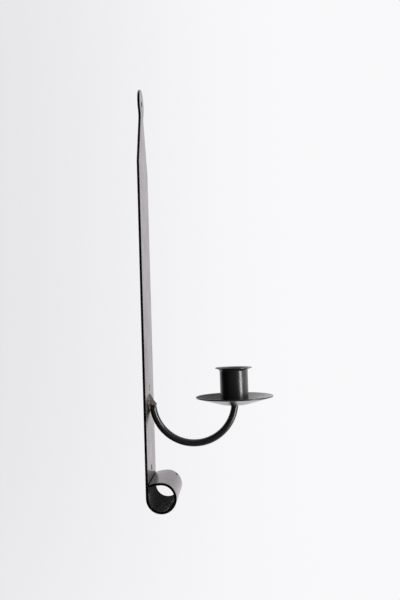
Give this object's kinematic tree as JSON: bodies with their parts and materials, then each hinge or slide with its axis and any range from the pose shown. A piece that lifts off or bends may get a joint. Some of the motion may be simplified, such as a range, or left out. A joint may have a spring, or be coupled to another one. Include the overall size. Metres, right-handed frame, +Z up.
{
  "type": "wall sconce candle holder",
  "caption": "Wall sconce for one taper candle: tapered hanging strap with eye and rolled foot, U-shaped rod arm, dished drip pan and flared cup.",
  "frame": {"origin": "on the axis of the hanging hole, in the plane of the wall behind the strap", "axes": "+Z up; the wall is on the +Y side and the arm reaches towards -Y; X is across the strap"},
  "size_m": [0.0654, 0.1066, 0.3562],
  "materials": {
    "black_paint": "satin black paint on steel",
    "braze": "brazing filler, mostly painted over, brown and brass traces",
    "zinc_steel": "dull zinc plate"
  },
  "bodies": {
    "root": {"back_plate": "black_paint", "arm": "black_paint", "arm_braze": "braze", "drip_pan": "black_paint", "pan_braze": "braze", "candle_cup": "black_paint", "cup_screw": "zinc_steel"}
  },
  "joints": []
}
